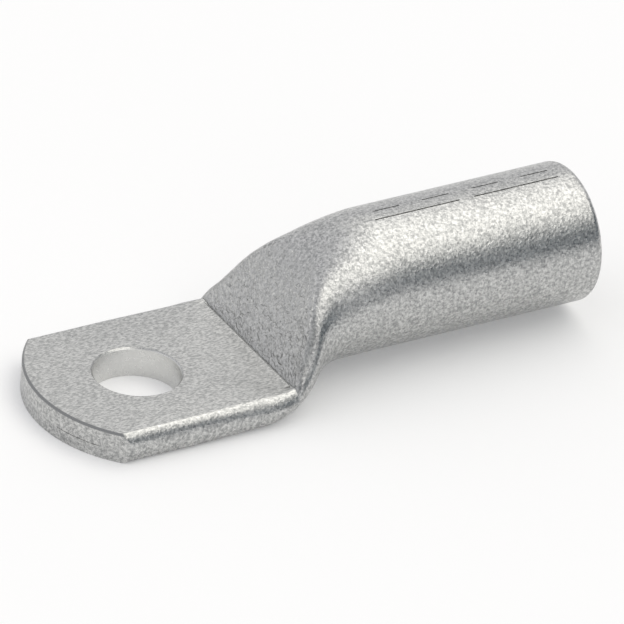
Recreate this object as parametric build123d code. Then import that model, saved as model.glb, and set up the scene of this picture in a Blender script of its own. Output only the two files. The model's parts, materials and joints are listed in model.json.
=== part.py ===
from build123d import *
from dataclasses import dataclass
import math
import os

# Tinned copper cable lug, pressed from one length of round tube. One end stays a round barrel for the
# conductor, the other end is pressed flat into a palm with a bolt hole, and a dished step joins the two.
#
# Frame: origin at the centre of the bolt hole on the underside of the palm, +X towards the mouth of the
# barrel, +Z up through the palm. All lengths are in millimetres and all angles in degrees.

# Barrel
barrel_diameter = 21.0
barrel_wall = 2.75
barrel_start_x = 38.5
barrel_mouth_x = 72.0
barrel_underside_z = 0.98
mouth_rounding = 1.1
bore_chamfer = 0.4

# Palm
palm_thickness = 4.75
bolt_hole_diameter = 13.0
bolt_hole_chamfer = 0.25
palm_tip_x = -16.15
palm_tip_radius = 20.5
palm_corner_radius = 1.2
palm_tip_edge_chamfer = 0.3
palm_tip_half_width = 15.3
palm_tip_rim_rounding = 0.8
palm_tip_shoulder_rounding = 2.2
palm_tip_belly_rounding = 1.0
palm_middle_x = 2.0
palm_middle_half_width = 15.4
palm_middle_rim_rounding = 0.9
palm_middle_shoulder_rounding = 2.4
palm_middle_belly_rounding = 1.1
palm_root_x = 13.0
palm_root_half_width = 15.45
palm_root_rim_rounding = 1.4
palm_root_shoulder_rounding = 2.9
palm_root_belly_rounding = 2.0

# Lip that the press squeezes up on the palm, just ahead of the crease
lip_start_x = 16.9
lip_crest_x = 18.2
lip_foot_x = 18.45
lip_height = 0.18
lip_half_width = 12.6

# Step seen from the side: a sharp crease, a steep floor and a rounded crown
crease_x = 18.55
step_end_x = 36.0
floor_slope = 61.0
crown_bend = 17.2
crown_angle = 10.0
crown_start_x = 30.5

# Dish pressed into the step: a flat floor that narrows upwards between two flanks
dish_angle = 20.0
dish_start_x = 16.6
dish_full_x = 20.5
dish_fade_x = 25.5
dish_end_x = 32.0
floor_half_width = 11.4
floor_least_half_width = 0.5
floor_wide_x = 17.95
floor_narrow_x = 26.0

# Rim of the dish and the shoulders outside it
rim_radius = 0.85
rim_growth_x = 20.0
shoulder_start_x = 17.65
shoulder_slope = 71.9
shoulder_low_bend = 2.0
shoulder_high_bend = 5.7

# Sides and underside of the step
waist_start_x = 14.8
waist_slope = 39.0
waist_outer_bend = 14.2
waist_inner_bend = 7.9
heel_start_x = 17.95
heel_slope = 7.0
heel_bend = 40.0
belly_start_x = 13.4
belly_slope = 29.4
belly_low_bend = 2.0
belly_high_bend = 3.0

# Hollow of the step, and the seam between the pressed walls at the tip
pocket_start_x = 20.4
seam_z = 1.9
seam_gap = 0.08
seam_depth = 0.2
seam_inner_y = -4.7
seam_outer_y = -11.7

# Crimping marks: two rows of fine grooves along the top of the barrel
mark_width = 0.22
mark_depth = 0.35
mark_angle = 6.0
mark_pitch = 8.35
long_mark_length = 14.2
long_mark_start_x = 37.8
short_mark_length = 4.5
short_mark_start_x = 38.6

# Angles taken up by the side arcs, by the rim arcs and by the underside of a round section
side_span = 20.0
rim_span = 40.0
round_span = 30.0

# Spacing of the sections: close where the dish opens, wider elsewhere
dish_spacing = 0.5
section_spacing = 1.4
pocket_spacing = 2.2

barrel_radius = barrel_diameter / 2
bore_radius = barrel_radius - barrel_wall
barrel_axis_z = barrel_underside_z + barrel_radius
barrel_top_z = barrel_axis_z + barrel_radius
pressed_wall = palm_thickness / 2
margin = 2.0


def ramp(x, start, rise, slope, low_bend, high_bend):
    """Height gained at x on a step made of two tangent bends with a straight slope between them."""
    angle = math.radians(slope)
    if (low_bend + high_bend) * (1 - math.cos(angle)) > rise:
        angle = math.acos(1 - rise / (low_bend + high_bend))
    low_rise = low_bend * (1 - math.cos(angle))
    high_rise = high_bend * (1 - math.cos(angle))
    low_end = start + low_bend * math.sin(angle)
    high_start = low_end + (rise - low_rise - high_rise) / math.tan(angle)
    finish = high_start + high_bend * math.sin(angle)
    if x <= start:
        return 0.0
    if x < low_end:
        return low_bend - math.sqrt(low_bend**2 - (x - start) ** 2)
    if x < high_start:
        return low_rise + (x - low_end) * math.tan(angle)
    if x < finish:
        return rise - high_bend + math.sqrt(high_bend**2 - (finish - x) ** 2)
    return rise


def ease(x, start, finish):
    """Smooth share from 0 at start to 1 at finish."""
    share = min(max((x - start) / (finish - start), 0.0), 1.0)
    return share * share * (3 - 2 * share)


@dataclass
class Section:
    """Outline of the tube square to X, made of twelve tangent lines and arcs.

    The top has a middle stretch, two flanks that lean by the tilt, and two rims that pass into the
    shoulders. A negative tilt gives a dish, none gives a flat top and a positive one gives a crown.
    """

    x: float
    half_width: float
    bottom: float
    top: float
    middle_half: float
    tilt: float
    rim_radius: float
    shoulder_radius: float
    belly_radius: float
    belly_span: float

    def point(self, centre, radius, degrees):
        """Point on a circle round a centre in the plane of the section."""
        angle = math.radians(degrees)
        return Vector(self.x, centre[0] + radius * math.cos(angle), centre[1] + radius * math.sin(angle))

    def arc(self, centre, radius, start, finish):
        """Arc round a centre between two angles, measured from +Y towards +Z."""
        ends = (self.point(centre, radius, start), self.point(centre, radius, finish))
        return Edge.make_three_point_arc(ends[0], self.point(centre, radius, (start + finish) / 2), ends[1])

    def side_arc_radius(self):
        """Radius of the side arcs that closes the height between the top and the underside."""
        side = math.radians(side_span)
        rim = math.radians(rim_span)
        tilt = math.radians(self.tilt)
        belly = math.radians(self.belly_span)
        flat_half = self.middle_half if self.tilt < 0 else 0.0
        shoulder_gain = self.shoulder_radius - self.rim_radius
        flank_run = (
            self.half_width - flat_half - self.shoulder_radius * math.cos(side)
            + shoulder_gain * math.sin(rim) + self.rim_radius * math.sin(tilt)
        )
        shoulder_drop = (
            shoulder_gain * math.cos(rim) + self.rim_radius * math.cos(tilt)
            + flank_run * math.tan(tilt / 2)
        )
        belly_run = self.half_width - self.belly_radius * (math.cos(side) - math.sin(belly))
        belly_rise = self.belly_radius * math.cos(belly) + belly_run * math.tan(belly / 2)
        height = self.top - self.bottom - shoulder_drop - belly_rise
        reach = 2 * math.sin(side)
        reach -= (1 - math.cos(side)) * (math.tan(tilt / 2) + math.tan(belly / 2))
        return (height + (self.shoulder_radius + self.belly_radius) * math.sin(side)) / reach

    def right_side(self):
        """Edges of the +Y half, from the middle stretch of the top to that of the underside."""
        side = math.radians(side_span)
        rim = math.radians(rim_span)
        tilt = math.radians(self.tilt)
        belly = math.radians(self.belly_span)
        side_radius = self.side_arc_radius()
        side_y = self.half_width - side_radius
        shoulder_y = side_y + (side_radius - self.shoulder_radius) * math.cos(side)
        belly_y = side_y + (side_radius - self.belly_radius) * math.cos(side)
        belly_z = self.bottom + self.belly_radius * math.cos(belly)
        belly_z += (belly_y + self.belly_radius * math.sin(belly)) * math.tan(belly / 2)
        side_z = belly_z + (side_radius - self.belly_radius) * math.sin(side)
        shoulder_z = side_z + (side_radius - self.shoulder_radius) * math.sin(side)
        rim_y = shoulder_y + (self.shoulder_radius - self.rim_radius) * math.sin(rim)
        rim_z = shoulder_z + (self.shoulder_radius - self.rim_radius) * math.cos(rim)
        return self.flank(rim_y + self.rim_radius * math.sin(tilt)) + [
            self.arc((rim_y, rim_z), self.rim_radius, 90 - self.tilt, 90 - rim_span),
            self.arc((shoulder_y, shoulder_z), self.shoulder_radius, 90 - rim_span, side_span),
            self.arc((side_y, side_z), side_radius, side_span, -side_span),
            self.arc((belly_y, belly_z), self.belly_radius, -side_span, self.belly_span - 90),
        ]

    def flank(self, finish_y):
        """Edge of the +Y half from the middle stretch of the top to the start of the rim."""
        tilt = math.radians(abs(self.tilt))
        if self.tilt < 0:
            radius = (finish_y - self.middle_half) / math.sin(tilt)
            return [self.arc((self.middle_half, self.top + radius), radius, -90, -90 - self.tilt)]
        if self.tilt > 0:
            radius = finish_y / math.sin(tilt)
            start = math.degrees(math.acos(self.middle_half / radius))
            return [self.arc((0.0, self.top - radius), radius, start, 90 - self.tilt)]
        start = Vector(self.x, self.middle_half, self.top)
        return [Edge.make_line(start, Vector(self.x, finish_y, self.top))]

    def wire(self):
        """Closed outline: the +Y half, the underside, the -Y half and the middle of the top."""
        right = self.right_side()
        left = [edge.mirror(Plane.XZ) for edge in right]
        top_start = right[0].position_at(0)
        low_end = right[-1].position_at(1)
        if self.tilt > 0:
            top = Edge.make_three_point_arc(flip(top_start), Vector(self.x, 0, self.top), top_start)
        else:
            top = Edge.make_line(flip(top_start), top_start)
        if self.belly_span > 0:
            underside = Edge.make_three_point_arc(low_end, Vector(self.x, 0, self.bottom), flip(low_end))
        else:
            underside = Edge.make_line(low_end, flip(low_end))
        return Wire(right + [underside] + left[::-1] + [top])


def flip(point):
    """The same point on the other side of the middle plane."""
    return Vector(point.X, -point.Y, point.Z)


def dish_tilt(x):
    """Lean of the flanks: into the dish near the crease, over to the crown at the barrel."""
    dish = ease(x, dish_start_x, dish_full_x) * (1 - ease(x, dish_fade_x, dish_end_x))
    return crown_angle * ease(x, crown_start_x, step_end_x) - dish_angle * dish


def rim_rounding(x):
    """Radius of the rim: sharpened towards the crease, then growing to that of the barrel."""
    sharpening = (rim_radius - palm_root_rim_rounding) * ease(x, palm_root_x, crease_x)
    growth = (barrel_radius - rim_radius) * ease(x, rim_growth_x, step_end_x)
    return palm_root_rim_rounding + sharpening + growth


def step_section(x, depth=0.0):
    """Outline of the tube between the root of the palm and the barrel, at a depth below its skin."""
    narrowing = ramp(
        x, waist_start_x, palm_root_half_width - barrel_radius,
        waist_slope, waist_outer_bend - depth, waist_inner_bend + depth,
    )
    floor_rise = ramp(
        x, crease_x, barrel_top_z - palm_thickness,
        floor_slope, depth, crown_bend - depth,
    )
    shoulder_growth = ramp(
        x, shoulder_start_x, barrel_radius - palm_root_shoulder_rounding,
        shoulder_slope, shoulder_low_bend, shoulder_high_bend,
    )
    belly_growth = ramp(
        x, belly_start_x, barrel_radius - palm_root_belly_rounding,
        belly_slope, belly_low_bend, belly_high_bend,
    )
    floor_share = ease(x, floor_wide_x, floor_narrow_x)
    return Section(
        x=x,
        half_width=palm_root_half_width - depth - narrowing,
        bottom=depth + ramp(x, heel_start_x, barrel_underside_z, heel_slope, heel_bend, heel_bend),
        top=palm_thickness - depth + floor_rise,
        middle_half=floor_half_width + (floor_least_half_width - floor_half_width) * floor_share,
        tilt=dish_tilt(x),
        rim_radius=rim_rounding(x) - depth,
        shoulder_radius=palm_root_shoulder_rounding + shoulder_growth - depth,
        belly_radius=palm_root_belly_rounding + belly_growth - depth,
        belly_span=round_span * ease(x, crease_x, step_end_x),
    )


def stations(start, finish, spacing):
    """Evenly spaced places for the sections of a loft."""
    count = max(4, math.ceil((finish - start) / spacing))
    return [start + (finish - start) * index / count for index in range(count + 1)]


def step_wall(x):
    """Wall of the tube, thinned by the press towards the palm."""
    return pressed_wall + (barrel_wall - pressed_wall) * ease(x, crease_x, step_end_x)


def round_section():
    """Round outline of the barrel where the step joins it."""
    return Section(
        x=barrel_start_x, half_width=barrel_radius, bottom=barrel_underside_z, top=barrel_top_z,
        middle_half=floor_least_half_width, tilt=crown_angle, rim_radius=barrel_radius,
        shoulder_radius=barrel_radius, belly_radius=barrel_radius, belly_span=round_span,
    )


def pocket_oval(x):
    """Oval outline of the hollow in the step, flattened towards the crease."""
    inner = step_section(x, step_wall(x))
    middle = Plane((x, 0, (inner.top + inner.bottom) / 2), x_dir=(0, 1, 0), z_dir=(1, 0, 0))
    return middle * Ellipse(inner.half_width, (inner.top - inner.bottom) / 2).wire()


def pocket():
    """Hollow of the step, from the flat end near the crease to the round bore."""
    ovals = [pocket_oval(x) for x in stations(pocket_start_x, barrel_start_x, pocket_spacing)[:-1]]
    middle = Plane((barrel_start_x, 0, barrel_axis_z), x_dir=(0, 1, 0), z_dir=(1, 0, 0))
    return Solid.make_loft(ovals + [middle * Circle(bore_radius).wire()], True)


def palm_section(x, half_width, rim, shoulder, belly):
    """Outline of the pressed palm, flat above and below, with folded tube walls as its sides."""
    return Section(
        x=x, half_width=half_width, bottom=0.0, top=palm_thickness, middle_half=floor_half_width,
        tilt=0.0, rim_radius=rim, shoulder_radius=shoulder, belly_radius=belly, belly_span=0.0,
    )


def palm():
    """Flat palm, its edges rounder towards the root, cut to an arc at the tip."""
    tip = palm_section(
        palm_tip_x - margin, palm_tip_half_width,
        palm_tip_rim_rounding, palm_tip_shoulder_rounding, palm_tip_belly_rounding,
    )
    middle = palm_section(
        palm_middle_x, palm_middle_half_width,
        palm_middle_rim_rounding, palm_middle_shoulder_rounding, palm_middle_belly_rounding,
    )
    root = palm_section(
        palm_root_x, palm_root_half_width,
        palm_root_rim_rounding, palm_root_shoulder_rounding, palm_root_belly_rounding,
    )
    blank = Solid.make_loft([tip.wire(), middle.wire(), root.wire()], True)
    return Part() + blank - tip_offcut() - tip_edge()


def tip_edge():
    """Sliver outside a cone, which breaks the upper edge of the rounded tip."""
    height = palm_tip_edge_chamfer + 2 * margin
    outside = Cylinder(palm_tip_radius + margin, height)
    inside = Cone(palm_tip_radius + margin, palm_tip_radius + margin - height, height)
    centre_z = palm_thickness - palm_tip_edge_chamfer / 2
    return Pos(palm_tip_x + palm_tip_radius, 0, centre_z) * (outside - inside)


def lip():
    """Low lip across the palm: a long slope up to a crest, then a short drop to the crease."""
    profile = Polygon(
        (lip_start_x, palm_thickness),
        (lip_start_x, palm_thickness / 2),
        (lip_foot_x, palm_thickness / 2),
        (lip_foot_x, palm_thickness),
        (lip_crest_x, palm_thickness + lip_height),
        align=None,
    )
    return extrude(Plane.XZ * profile, lip_half_width, both=True)


def tip_offcut():
    """Everything beyond the rounded tip: outside its arc and outside its two small corner arcs."""
    centre_x = palm_tip_x + palm_tip_radius
    corner_y = palm_tip_half_width - palm_corner_radius
    reach = palm_tip_radius - palm_corner_radius
    corner_x = centre_x - math.sqrt(reach**2 - corner_y**2)
    lean = 12.0
    meet = math.degrees(math.atan2(corner_y, corner_x - centre_x))
    meet_point = Vector(centre_x, 0) + Vector(palm_tip_radius, 0).rotate(Axis.Z, meet)
    corner_middle = Vector(corner_x, corner_y) + Vector(palm_corner_radius, 0).rotate(
        Axis.Z, (meet + 90 + lean) / 2
    )
    corner_end = Vector(corner_x, corner_y) + Vector(palm_corner_radius, 0).rotate(Axis.Z, 90 + lean)
    exit_length = 2 * margin / math.sin(math.radians(lean))
    exit_point = corner_end + Vector(exit_length, 0).rotate(Axis.Z, lean)
    back_x = palm_tip_x - 3 * margin
    outline = Wire(
        [
            Edge.make_three_point_arc(mirror_y(meet_point), Vector(palm_tip_x, 0), meet_point),
            Edge.make_three_point_arc(meet_point, corner_middle, corner_end),
            Edge.make_line(corner_end, exit_point),
            Edge.make_line(exit_point, Vector(back_x, exit_point.Y)),
            Edge.make_line(Vector(back_x, exit_point.Y), Vector(back_x, -exit_point.Y)),
            Edge.make_line(Vector(back_x, -exit_point.Y), mirror_y(exit_point)),
            Edge.make_line(mirror_y(exit_point), mirror_y(corner_end)),
            Edge.make_three_point_arc(mirror_y(corner_end), mirror_y(corner_middle), mirror_y(meet_point)),
        ]
    )
    return Pos(0, 0, -margin) * extrude(Face(outline), palm_thickness + 2 * margin, Vector(0, 0, 1))


def mirror_y(point):
    """The same plan point on the other side of the middle line."""
    return Vector(point.X, -point.Y)


def seam():
    """Fine open seam between the two pressed walls, where the tip is cut."""
    centre = Pos(palm_tip_x + palm_tip_radius, 0, seam_z)
    ring = Cylinder(palm_tip_radius + margin, seam_gap) - Cylinder(palm_tip_radius - seam_depth, seam_gap)
    window = Pos(-palm_tip_radius, (seam_inner_y + seam_outer_y) / 2, 0) * Box(
        palm_tip_radius, seam_inner_y - seam_outer_y, palm_thickness
    )
    return centre * (ring & window)


def bolt_hole():
    """Punched hole, with the small turned-in edge that the punch leaves on its upper side."""
    hole_radius = bolt_hole_diameter / 2
    bore = Pos(0, 0, palm_thickness / 2) * Cylinder(hole_radius, palm_thickness + 2 * margin)
    edge = Pos(0, 0, palm_thickness - bolt_hole_chamfer) * Cone(
        hole_radius, hole_radius + 2 * bolt_hole_chamfer, 2 * bolt_hole_chamfer,
        align=(Align.CENTER, Align.CENTER, Align.MIN),
    )
    return bore + edge


def along_x(x, shape):
    """A shape made about +Z, laid along the axis of the barrel from x."""
    return Location((x, 0, barrel_axis_z), (0, 90, 0)) * shape


def barrel():
    """Straight round barrel, rounded over at the outer edge of its mouth."""
    length = barrel_mouth_x - barrel_start_x
    tube = Cylinder(barrel_radius, length, align=(Align.CENTER, Align.CENTER, Align.MIN))
    rim = tube.edges().filter_by(GeomType.CIRCLE).sort_by(Axis.Z)[-1]
    return along_x(barrel_start_x, fillet(rim, mouth_rounding))


def bore():
    """Straight bore for the conductor, with a small chamfer at the mouth."""
    length = barrel_mouth_x - barrel_start_x
    straight = Cylinder(bore_radius, length + margin, align=(Align.CENTER, Align.CENTER, Align.MIN))
    entry = Pos(0, 0, length - bore_chamfer) * Cone(
        bore_radius, bore_radius + 2 * bore_chamfer, 2 * bore_chamfer,
        align=(Align.CENTER, Align.CENTER, Align.MIN),
    )
    return along_x(barrel_start_x, straight + entry)


def mark(start_x, length, angle):
    """One groove along the barrel, at an angle from its top line."""
    bar = Pos(0, 0, barrel_radius) * Box(length, mark_width, 2 * mark_depth)
    return Pos(start_x + length / 2, 0, barrel_axis_z) * Rot(angle, 0, 0) * bar


def crimping_marks():
    """Both rows of grooves: two long ones on one side of the top, four short ones on the other."""
    long_row = [
        mark(long_mark_start_x + 2 * mark_pitch * index, long_mark_length, mark_angle)
        for index in range(2)
    ]
    short_row = [
        mark(short_mark_start_x + mark_pitch * index, short_mark_length, -mark_angle)
        for index in range(4)
    ]
    return long_row + short_row


def curl():
    """Root of the palm, where its sides curl up towards the step."""
    outlines = [step_section(x) for x in stations(palm_root_x, crease_x, section_spacing)]
    return Solid.make_loft([outline.wire() for outline in outlines], True)


def step():
    """Dished step from the crease up to the round barrel."""
    dish = stations(crease_x, dish_fade_x, dish_spacing)[:-1]
    neck = stations(dish_fade_x, barrel_start_x, section_spacing)[:-1]
    outlines = [step_section(x) for x in dish + neck] + [round_section()]
    return Solid.make_loft([outline.wire() for outline in outlines], True)


def lug():
    """The whole lug: palm, curled sides, dished step and barrel, with its hollow and holes."""
    body = palm() + curl() + step() + barrel() + lip()
    return body - (Part() + pocket() + bore()) - bolt_hole() - seam() - crimping_marks()


os.makedirs("parts", exist_ok=True)
model = lug()
export_step(model, "parts/cable_lug.step")
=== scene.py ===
"""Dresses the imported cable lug: its tin plate, the studio round it and the camera.

Everything is in metres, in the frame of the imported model: the origin is the centre of the bolt hole
on the underside of the palm, +X runs along the barrel to its mouth and +Z points up.
"""

from __future__ import annotations

import json
import logging
import math
from dataclasses import dataclass
from enum import Enum
from typing import Any

import bpy
from mathutils import Matrix, Vector

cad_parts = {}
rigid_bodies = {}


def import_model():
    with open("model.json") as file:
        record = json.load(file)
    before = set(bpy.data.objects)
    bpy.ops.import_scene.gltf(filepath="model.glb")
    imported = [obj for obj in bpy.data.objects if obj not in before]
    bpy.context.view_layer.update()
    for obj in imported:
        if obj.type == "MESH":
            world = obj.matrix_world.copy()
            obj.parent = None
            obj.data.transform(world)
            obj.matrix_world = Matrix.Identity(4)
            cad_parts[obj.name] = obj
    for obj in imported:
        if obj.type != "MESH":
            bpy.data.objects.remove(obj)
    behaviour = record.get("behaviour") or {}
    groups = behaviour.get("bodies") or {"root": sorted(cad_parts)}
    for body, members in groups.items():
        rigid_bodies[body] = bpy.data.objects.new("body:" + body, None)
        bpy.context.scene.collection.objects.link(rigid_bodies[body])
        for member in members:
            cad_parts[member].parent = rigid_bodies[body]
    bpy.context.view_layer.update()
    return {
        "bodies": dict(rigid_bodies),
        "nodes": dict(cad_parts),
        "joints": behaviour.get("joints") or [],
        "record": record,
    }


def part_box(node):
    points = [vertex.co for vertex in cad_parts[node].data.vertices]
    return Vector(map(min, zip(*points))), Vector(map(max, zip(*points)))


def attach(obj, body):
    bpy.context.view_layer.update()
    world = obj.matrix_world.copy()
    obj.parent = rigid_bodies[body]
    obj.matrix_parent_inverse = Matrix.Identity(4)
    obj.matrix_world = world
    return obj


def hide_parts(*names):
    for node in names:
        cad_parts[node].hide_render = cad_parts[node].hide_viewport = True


LOG = logging.getLogger("cable_lug")
MM = 0.001

# Sockets of a mix node that mixes colours: its two colours, and what comes out
FIRST = "6"
SECOND = "7"
MIXED = 2


class Join(Enum):
    """How two values become one."""

    PLUS = "ADD"
    TIMES = "MULTIPLY"
    LARGER = "MAXIMUM"


class Course(Enum):
    """How a value climbs between two limits."""

    SOFT = "SMOOTHSTEP"
    STRAIGHT = "LINEAR"


def linear(hex_code: str, level: float = 1.0) -> tuple[float, float, float, float]:
    """Turns an sRGB colour into the linear values that a shader reads.

    The numbers are those of the sRGB curve, which is straight near black and a power above.

    Args:
        hex_code: Six hexadecimal digits, with or without a leading hash.
        level: Brightness that the colour is multiplied by.

    Returns:
        Linear red, green and blue, and an alpha of 1.
    """
    digits = hex_code.lstrip("#")
    channels = []
    for index in (0, 2, 4):
        value = int(digits[index : index + 2], 16) / 255
        value = value / 12.92 if value <= 0.04045 else ((value + 0.055) / 1.055) ** 2.4
        channels.append(value * level)
    return (channels[0], channels[1], channels[2], 1.0)


def add_node(
    tree: bpy.types.NodeTree,
    kind: str,
    settings: dict[str, Any] | None = None,
    links: dict[str, Any] | None = None,
) -> bpy.types.Node:
    """Adds one node with its settings and links.

    Args:
        tree: Node tree that the node goes into.
        kind: Type name of the node.
        settings: Values by attribute name, or by socket name or index in square brackets.
        links: What feeds each input, by its name or index: an output socket, or a node that
            stands for its first output.

    Returns:
        The new node.
    """
    node = tree.nodes.new(kind)
    for name, value in (settings or {}).items():
        if name.startswith("["):
            key = name[1:-1]
            node.inputs[int(key) if key.isdigit() else key].default_value = value
        else:
            setattr(node, name, value)
    for name, source in (links or {}).items():
        output = source.outputs[0] if isinstance(source, bpy.types.Node) else source
        tree.links.new(output, node.inputs[int(name) if name.isdigit() else name])
    return node


def clear_selection() -> None:
    """Deselects everything, so that an operator acts only on what is chosen next."""
    bpy.ops.object.select_all(action="DESELECT")


def choose(piece: bpy.types.Object) -> None:
    """Selects one piece and makes it the active object.

    Args:
        piece: Piece that the next operators act on.
    """
    clear_selection()
    piece.select_set(True)
    bpy.context.view_layer.objects.active = piece


@dataclass(frozen=True)
class Fade:
    """Limits between which a share grows from nothing to all.

    Attributes:
        none: Value at which the share is 0.
        full: Value at which the share is 1.
        course: How it grows in between.
    """

    none: float
    full: float
    course: Course = Course.SOFT

    def settings(self, origin: float = 0.0, unit: float = 1.0) -> dict[str, Any]:
        """Gives the limits as settings of a node.

        Args:
            origin: Value that both limits are counted from.
            unit: What one unit of the limits is worth.

        Returns:
            The settings by name.
        """
        return {
            "interpolation_type": self.course.value,
            "[From Min]": origin + self.none * unit,
            "[From Max]": origin + self.full * unit,
        }


@dataclass(frozen=True)
class Pattern:
    """Random pattern.

    Attributes:
        size_mm: Width of its largest marks.
        detail: How many layers of finer marks it has.
        roughness: How strong the finer layers are.
        distortion: How far its marks are bent.
    """

    size_mm: float
    detail: float
    roughness: float
    distortion: float = 0.0

    def settings(self) -> dict[str, float]:
        """Gives the pattern as settings of a node.

        Returns:
            The settings by name.
        """
        return {
            "[Scale]": 1 / (self.size_mm * MM),
            "[Detail]": self.detail,
            "[Roughness]": self.roughness,
            "[Distortion]": self.distortion,
        }


@dataclass(frozen=True)
class Places:
    """Places on the lug that its finish follows, in metres.

    Attributes:
        palm_top: Height of the top of the palm.
        palm_end: Where the palm ends in front of the crease, along the lug.
        hole_radius: Radius of the bolt hole.
        tip_centre: Centre of the round tip, along the lug.
        tip_radius: Radius of the round tip.
    """

    palm_top: float
    palm_end: float
    hole_radius: float
    tip_centre: float
    tip_radius: float


@dataclass(frozen=True)
class Zones:
    """Shares of the surface: states that the press and the punch left, painted shade and a darker
    edge line.

    Attributes:
        ironed: Skin that the press has ironed: the top of the palm, and in part the step's floor.
        ramp: Steep floor of the step, printed by the press.
        wall: Sheared wall of the bolt hole: smoother, with its colour lightened as painted light
            against its shade.
        crease: Narrow line of painted shade in the crease.
        edge: Darker line along the upper edge of the tip.
    """

    ironed: bpy.types.Node
    ramp: bpy.types.Node
    wall: bpy.types.Node
    crease: bpy.types.Node
    edge: bpy.types.Node


@dataclass(frozen=True)
class TinPlate:
    """Matt tin electroplated on a pressed copper tube.

    The pickled skin of the tube under the tin is grainy, so the plate gives the eye a soft metal
    sheen broken into bright and dark specks. The press has ironed the palm, which keeps only short
    fine streaks along the lug, and has printed the steep floor of the step with small worm-like
    marks. The punch has left the wall of the bolt hole the smoothest; its colour is also lightened,
    as painted light against the shade in the hole. A narrow line of painted shade darkens the
    crease, and a darker line runs along the upper edge of the tip. The real grain is finer than a
    pixel; it is drawn as coarse as its clusters show in the photograph.

    The fades of the zones are in millimetres, from the place that each belongs to. The front of the
    lug, which holds the edge of the tip, counts from the centre of the bolt hole. The slope of the
    ramp is the cosine of the angle between the surface and the ramp's own direction.
    """

    name: str = "matt_tin_plate"
    light_hex: str = "#D5D5D3"
    dark_hex: str = "#919292"
    ironed_light_hex: str = "#CFCFCD"
    ironed_dark_hex: str = "#9FA09F"
    # Painted light: colour of the bolt hole's wall, lightened against the shade in the hole.
    wall_hex: str = "#D8D8D6"
    # Painted shade: colour of a narrow darker line along the crease.
    grime_hex: str = "#B0B1B0"
    # Colour of a darker line along the upper edge of the tip.
    edge_hex: str = "#8A8B8B"
    specks: Pattern = Pattern(0.50, detail=3.0, roughness=0.8, distortion=0.3)
    streaks: Pattern = Pattern(0.26, detail=2.0, roughness=0.6)
    grain: Pattern = Pattern(0.40, detail=2.0, roughness=0.6)
    worms: Pattern = Pattern(1.2, detail=1.0, roughness=0.5, distortion=1.6)
    streak_stretch: float = 0.45
    contrast: Fade = Fade(0.32, 0.68)
    grain_depth_mm: float = 0.055
    ironed_depth_mm: float = 0.02
    worm_depth_mm: float = 0.32
    ramp_ironed: float = 0.45
    dull_roughness: float = 0.37
    bright_roughness: float = 0.27
    sheen: Fade = Fade(0.35, 0.65, Course.STRAIGHT)
    top_fade: Fade = Fade(-0.25, -0.02)
    palm_fade: Fade = Fade(0.0, -0.2)
    step_fade: Fade = Fade(0.0, 0.15)
    # Painted shade of the crease fades out over these millimetres past the end of the palm.
    grime_fade: Fade = Fade(0.45, 0.1)
    wall_fade: Fade = Fade(0.12, 0.04)
    edge_fade: Fade = Fade(-0.4, -0.25)
    front_fade: Fade = Fade(-4.0, -5.0)
    ramp_slope: Fade = Fade(0.90, 0.985)
    ramp_normal: tuple[float, float, float] = (-0.875, 0.0, 0.485)

    def build(self, places: Places) -> bpy.types.Material:
        """Makes the node material.

        Args:
            places: Places on the lug that the zones follow.

        Returns:
            The finished material.
        """
        material = bpy.data.materials.new(self.name)
        material.use_nodes = True
        tree = material.node_tree
        tree.nodes.clear()
        coordinates = add_node(tree, "ShaderNodeTexCoord")
        place = coordinates.outputs["Object"]
        zones = self.zones(tree, place, coordinates.outputs["Normal"], places)
        grain = add_node(tree, "ShaderNodeTexNoise", self.grain.settings(), {"Vector": place})
        gloss = add_node(
            tree,
            "ShaderNodeMapRange",
            {
                **self.sheen.settings(),
                "[To Min]": self.dull_roughness,
                "[To Max]": self.bright_roughness,
            },
            {"Value": grain},
        )
        bump = add_node(
            tree,
            "ShaderNodeBump",
            {"[Strength]": 1.0, "[Distance]": 1.0},
            {"Height": self.relief(tree, place, zones, grain)},
        )
        shader = add_node(
            tree,
            "ShaderNodeBsdfPrincipled",
            {"[Metallic]": 1.0},
            {"Base Color": self.colour(tree, place, zones), "Roughness": gloss, "Normal": bump},
        )
        add_node(tree, "ShaderNodeOutputMaterial", links={"Surface": shader})
        return material

    def zones(
        self,
        tree: bpy.types.NodeTree,
        place: bpy.types.NodeSocket,
        normal: bpy.types.NodeSocket,
        places: Places,
    ) -> Zones:
        """Works out the shares of the zones from the place and the slope of the surface.

        Args:
            tree: Node tree of the material.
            place: Place on the lug.
            normal: Direction of the surface.
            places: Places on the lug that the zones follow.

        Returns:
            The shares.
        """
        axes = add_node(tree, "ShaderNodeSeparateXYZ", links={"Vector": place})
        along, across, height = axes.outputs
        plan = add_node(tree, "ShaderNodeCombineXYZ", links={"X": along, "Y": across})
        hole = add_node(tree, "ShaderNodeVectorMath", {"operation": "LENGTH"}, {"0": plan})
        centre = {"operation": "DISTANCE", "[1]": (places.tip_centre, 0.0, 0.0)}
        tip = add_node(tree, "ShaderNodeVectorMath", centre, {"0": plan})
        facing = {"operation": "DOT_PRODUCT", "[1]": self.ramp_normal}
        slope = add_node(tree, "ShaderNodeVectorMath", facing, {"0": normal})

        shares = {}
        for name, measure, limits in (
            ("top", height, self.top_fade.settings(places.palm_top, MM)),
            ("palm", along, self.palm_fade.settings(places.palm_end, MM)),
            ("step", along, self.step_fade.settings(places.palm_end, MM)),
            ("crease_shade", along, self.grime_fade.settings(places.palm_end, MM)),
            ("steep", slope.outputs["Value"], self.ramp_slope.settings()),
            ("wall", hole.outputs["Value"], self.wall_fade.settings(places.hole_radius, MM)),
            ("rim", tip.outputs["Value"], self.edge_fade.settings(places.tip_radius, MM)),
            ("brink", height, self.edge_fade.settings(places.palm_top, MM)),
            ("front", along, self.front_fade.settings(unit=MM)),
        ):
            shares[name] = add_node(tree, "ShaderNodeMapRange", limits, {"Value": measure})

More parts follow.
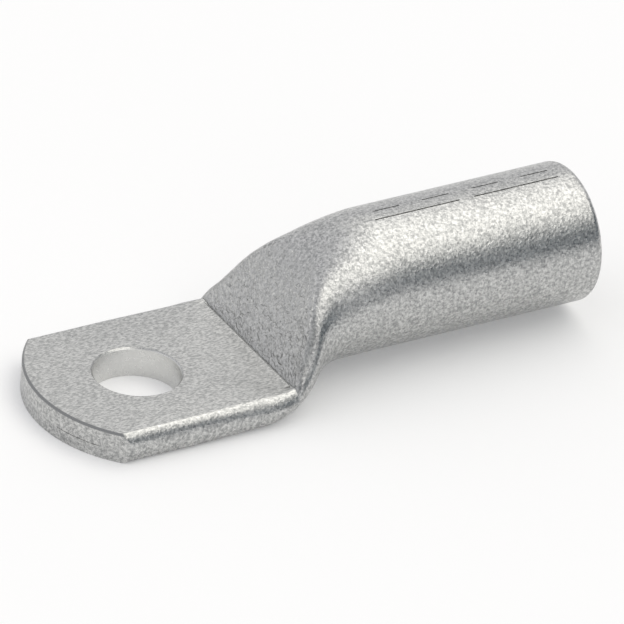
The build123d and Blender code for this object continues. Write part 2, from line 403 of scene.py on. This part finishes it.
        times = {"operation": Join.TIMES.value}
        zones = {}
        for name, first, *others in (
            ("palm", "palm", "top"),
            ("ramp", "steep", "step"),
            # Share of the crease, where shade is painted.
            ("crease", "step", "crease_shade", "top"),
            ("edge", "rim", "brink", "front"),
        ):
            zones[name] = shares[first]
            for other in others:
                factors = {"0": zones[name], "1": shares[other]}
                zones[name] = add_node(tree, "ShaderNodeMath", times, factors)

        partly = add_node(
            tree, "ShaderNodeMath", {**times, "[1]": self.ramp_ironed}, {"0": zones["ramp"]}
        )
        ironed = add_node(
            tree,
            "ShaderNodeMath",
            {"operation": Join.LARGER.value},
            {"0": zones["palm"], "1": partly},
        )
        return Zones(ironed, zones["ramp"], shares["wall"], zones["crease"], zones["edge"])

    def relief(
        self,
        tree: bpy.types.NodeTree,
        place: bpy.types.NodeSocket,
        zones: Zones,
        grain: bpy.types.Node,
    ) -> bpy.types.Node:
        """Height of the fine relief: the grain of the skin and the worm-like marks of the step.

        Args:
            tree: Node tree of the material.
            place: Place on the lug.
            zones: Shares of the zones.
            grain: Pattern of the grain.

        Returns:
            Node with the height in metres.
        """
        smooth = add_node(
            tree,
            "ShaderNodeMath",
            {"operation": Join.LARGER.value},
            {"0": zones.ironed, "1": zones.wall},
        )
        grain_depth = {
            "[To Min]": self.grain_depth_mm * MM,
            "[To Max]": self.ironed_depth_mm * MM,
        }
        worm_depth = {"[To Max]": self.worm_depth_mm * MM}
        worms = add_node(tree, "ShaderNodeTexNoise", self.worms.settings(), {"Vector": place})

        heights = []
        for marks, limits, share in (
            (grain, grain_depth, smooth),
            (worms, worm_depth, zones.ramp),
        ):
            depth = add_node(tree, "ShaderNodeMapRange", limits, {"Value": share})
            times = {"operation": Join.TIMES.value}
            heights.append(add_node(tree, "ShaderNodeMath", times, {"0": marks, "1": depth}))
        skin, printed = heights
        plus = {"operation": Join.PLUS.value}
        return add_node(tree, "ShaderNodeMath", plus, {"0": skin, "1": printed})

    def colour(
        self, tree: bpy.types.NodeTree, place: bpy.types.NodeSocket, zones: Zones
    ) -> bpy.types.NodeSocket:
        """Grey of the tin: specks on the skin, short streaks where it is ironed.

        Args:
            tree: Node tree of the material.
            place: Place on the lug.
            zones: Shares of the zones.

        Returns:
            Socket with the colour.
        """
        drawn = add_node(
            tree,
            "ShaderNodeMapping",
            {"[Scale]": (self.streak_stretch, 1.0, 1.0)},
            {"Vector": place},
        )
        tints = []
        for pattern, source, dark_hex, light_hex in (
            (self.specks, place, self.dark_hex, self.light_hex),
            (self.streaks, drawn, self.ironed_dark_hex, self.ironed_light_hex),
        ):
            marks = add_node(tree, "ShaderNodeTexNoise", pattern.settings(), {"Vector": source})
            limits = self.contrast.settings()
            share = add_node(tree, "ShaderNodeMapRange", limits, {"Value": marks})
            colours = {f"[{FIRST}]": linear(dark_hex), f"[{SECOND}]": linear(light_hex)}
            tint = add_node(tree, "ShaderNodeMix", {"data_type": "RGBA", **colours}, {"0": share})
            tints.append(tint.outputs[MIXED])

        skin, ironed = tints
        tin = add_node(
            tree,
            "ShaderNodeMix",
            {"data_type": "RGBA"},
            {"0": zones.ironed, FIRST: skin, SECOND: ironed},
        )
        for share, hex_code in (
            # Wall colour lightened as painted light against the shade in the bolt hole.
            (zones.wall, self.wall_hex),
            # Painted shade along the crease.
            (zones.crease, self.grime_hex),
            # Darker line along the upper edge of the tip.
            (zones.edge, self.edge_hex),
        ):
            tin = add_node(
                tree,
                "ShaderNodeMix",
                {"data_type": "RGBA", f"[{SECOND}]": linear(hex_code)},
                {"0": share, FIRST: tin.outputs[MIXED]},
            )
        return tin.outputs[MIXED]


@dataclass
class LugBody:
    """The lug itself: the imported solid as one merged, smoothly shaded piece."""

    finish: TinPlate = TinPlate()
    node: str = "cable_lug"
    slot: str = "tin_plate"
    palm_end_mm: float = 18.45
    tip_radius_mm: float = 20.5
    weld_mm: float = 0.002
    sharp_degrees: float = 28.0

    def build(self, frame: dict[str, Any]) -> bpy.types.Object:
        """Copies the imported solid's mesh into a new piece and dresses it.

        Args:
            frame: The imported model.

        Returns:
            The finished piece.
        """
        piece = bpy.data.objects.new("lug_body", frame["nodes"][self.node].data.copy())
        bpy.context.scene.collection.objects.link(piece)
        self.merge(piece)
        piece.data.materials.clear()
        piece.data.materials.append(self.finish.build(self.places(frame["record"])))
        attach(piece, "root")
        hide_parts(self.node)
        return piece

    def places(self, record: dict[str, Any]) -> Places:
        """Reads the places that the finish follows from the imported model.

        Args:
            record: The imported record.

        Returns:
            The places.
        """
        mounts = {mount["name"]: mount for mount in record["mounts"]}
        lowest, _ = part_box(self.node)
        tip_radius = self.tip_radius_mm * MM
        return Places(
            palm_top=mounts["palm_top"]["pos_m"][2],
            palm_end=self.palm_end_mm * MM,
            hole_radius=mounts["bolt_hole"]["dims"]["r_mm"] * MM,
            tip_centre=lowest.x + tip_radius,
            tip_radius=tip_radius,
        )

    def merge(self, piece: bpy.types.Object) -> None:
        """Joins the loose triangles of the copy and shades it smooth up to its sharp edges.

        Args:
            piece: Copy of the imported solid.
        """
        choose(piece)
        bpy.ops.object.mode_set(mode="EDIT")
        bpy.ops.mesh.select_all(action="SELECT")
        bpy.ops.mesh.remove_doubles(threshold=self.weld_mm * MM)
        bpy.ops.mesh.customdata_custom_splitnormals_clear()
        bpy.ops.object.mode_set(mode="OBJECT")
        bpy.ops.object.shade_smooth_by_angle(angle=math.radians(self.sharp_degrees))
        clear_selection()


@dataclass(frozen=True)
class Card:
    """Soft patch of the dome, as a card or a lamp box gives it in a reflection.

    Attributes:
        azimuth: Compass angle of its middle from +X towards +Y, in degrees.
        elevation: Height of its middle above the floor, in degrees.
        core: Angle from the middle up to which it is at full strength, in degrees.
        edge: Angle from the middle at which it has faded out, in degrees.
        hex_code: Colour.
        level: Brightness.
    """

    azimuth: float
    elevation: float
    core: float
    edge: float
    hex_code: str
    level: float

    def lay(
        self,
        tree: bpy.types.NodeTree,
        direction: bpy.types.NodeSocket,
        under: bpy.types.NodeSocket,
    ) -> bpy.types.NodeSocket:
        """Lays the card over what is there.

        Args:
            tree: Node tree of the world.
            direction: Direction of the ray.
            under: Colour without the card.

        Returns:
            Socket with the colour with the card.
        """
        turn, lift = math.radians(self.azimuth), math.radians(self.elevation)
        aim = (math.cos(lift) * math.cos(turn), math.cos(lift) * math.sin(turn), math.sin(lift))
        toward = {"operation": "DOT_PRODUCT", "[1]": aim}
        near = add_node(tree, "ShaderNodeVectorMath", toward, {"0": direction})
        fade = Fade(math.cos(math.radians(self.edge)), math.cos(math.radians(self.core)))
        share = add_node(
            tree, "ShaderNodeMapRange", fade.settings(), {"Value": near.outputs["Value"]}
        )
        mixed = add_node(
            tree,
            "ShaderNodeMix",
            {"data_type": "RGBA", f"[{SECOND}]": linear(self.hex_code, self.level)},
            {"0": share, FIRST: under},
        )
        return mixed.outputs[MIXED]


@dataclass
class Studio:
    """Plain pale floor in a round tent that is bright overhead, with four soft patches.

    In the order of the cards: a pale card on the left keeps the palm and the step quiet, a dim card
    behind the camera tones down what faces it, a lamp box high on the right brightens the shoulder
    and the barrel, and a dark card under the lamp box draws the dark band along the barrel.
    """

    floor_hex: str = "#FBFBFB"
    floor_glow: float = 0.2
    floor_half_m: float = 6.0
    floor_gap_mm: float = 0.05
    wall_hex: str = "#FCFCFE"
    wall_level: float = 0.82
    roof_hex: str = "#FFFDF8"
    roof_level: float = 2.3
    roof_height: Fade = Fade(0.50, 0.97)
    cards: tuple[Card, ...] = (
        Card(163, 37, 50, 71, "#FCFCFF", 0.84),
        Card(-128, 33, 8, 32, "#F0F4F8", 0.40),
        Card(-44, 48, 5, 33, "#FFFDF8", 2.0),
        Card(-34, 5, 19, 49, "#A8C8E0", 0.17),
    )

    def build(self) -> None:
        """Makes the floor and the dome."""
        self.floor()
        self.dome()

    def floor(self) -> bpy.types.Object:
        """Makes the matt floor, just clear of the underside of the lug.

        To the camera and in reflections it glows a little, so that it looks nearly white and still
        keeps the shadow.

        Returns:
            The floor.
        """
        clear_selection()
        bpy.ops.mesh.primitive_plane_add(
            size=2 * self.floor_half_m, location=(0, 0, -self.floor_gap_mm * MM)
        )
        floor = bpy.context.object
        floor.name = "studio_floor"
        material = bpy.data.materials.new("matt_white_card")
        material.use_nodes = True
        tree = material.node_tree
        tree.nodes.clear()
        card = add_node(tree, "ShaderNodeBsdfDiffuse", {"[Color]": linear(self.floor_hex)})
        glow = add_node(tree, "ShaderNodeEmission", {"[Strength]": 1.0})
        rays = add_node(tree, "ShaderNodeLightPath").outputs
        seen = rays["Is Camera Ray"]
        for other in ("Is Glossy Ray", "Is Transmission Ray"):
            larger = {"operation": Join.LARGER.value}
            seen = add_node(tree, "ShaderNodeMath", larger, {"0": seen, "1": rays[other]})
        times = {"operation": Join.TIMES.value, "[1]": self.floor_glow}
        share = add_node(tree, "ShaderNodeMath", times, {"0": seen})
        mixed = add_node(tree, "ShaderNodeMixShader", links={"0": share, "1": card, "2": glow})
        add_node(tree, "ShaderNodeOutputMaterial", links={"Surface": mixed})
        floor.data.materials.append(material)
        return floor

    def dome(self) -> None:
        """Makes the world: a tent that brightens with height, and its cards."""
        world = bpy.data.worlds.new("studio_dome")
        bpy.context.scene.world = world
        world.use_nodes = True
        tree = world.node_tree
        tree.nodes.clear()
        direction = add_node(tree, "ShaderNodeTexCoord").outputs["Generated"]
        axes = add_node(tree, "ShaderNodeSeparateXYZ", links={"Vector": direction})
        limits = self.roof_height.settings()
        climb = add_node(tree, "ShaderNodeMapRange", limits, {"Value": axes.outputs["Z"]})
        tent = add_node(
            tree,
            "ShaderNodeMix",
            {
                "data_type": "RGBA",
                f"[{FIRST}]": linear(self.wall_hex, self.wall_level),
                f"[{SECOND}]": linear(self.roof_hex, self.roof_level),
            },
            {"0": climb},
        )
        colour = tent.outputs[MIXED]
        for card in self.cards:
            colour = card.lay(tree, direction, colour)
        light = add_node(tree, "ShaderNodeBackground", {"[Strength]": 1.0}, {"Color": colour})
        add_node(tree, "ShaderNodeOutputWorld", links={"Surface": light})


@dataclass
class Viewpoint:
    """Camera at the photograph's viewing angle, far off and with a long lens."""

    place_m: tuple[float, float, float] = (-0.749, -1.240535, 0.89688)
    right: tuple[float, float, float] = (0.866353, -0.494837, 0.067594)
    up: tuple[float, float, float] = (0.207881, 0.480349, 0.852086)
    lens_mm: float = 679.387
    sensor_mm: float = 36.0
    nearest_m: float = 0.05
    farthest_m: float = 50.0

    def build(self) -> bpy.types.Object:
        """Makes the camera and sets it as the scene's own.

        Returns:
            The camera.
        """
        data = bpy.data.cameras.new("photo_camera")
        data.lens = self.lens_mm
        data.sensor_width = self.sensor_mm
        data.clip_start = self.nearest_m
        data.clip_end = self.farthest_m
        camera = bpy.data.objects.new("photo_camera", data)
        bpy.context.scene.collection.objects.link(camera)
        right = Vector(self.right).normalized()
        up = (Vector(self.up) - right * right.dot(Vector(self.up))).normalized()
        back = right.cross(up)
        turn = Matrix((right, up, back)).transposed().to_4x4()
        camera.matrix_world = Matrix.Translation(Vector(self.place_m)) @ turn
        bpy.context.scene.camera = camera
        return camera


def main() -> None:
    """Loads the frame, then builds the camera, the studio and the lug in order."""
    logging.basicConfig(level=logging.INFO)
    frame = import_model()
    settings = bpy.context.scene.view_settings
    settings.view_transform = "Standard"
    Viewpoint().build()
    LOG.info("camera placed")
    Studio().build()
    LOG.info("studio built")
    piece = LugBody().build(frame)
    LOG.info("%s built with %d faces", piece.name, len(piece.data.polygons))


if __name__ == "__main__":
    main()
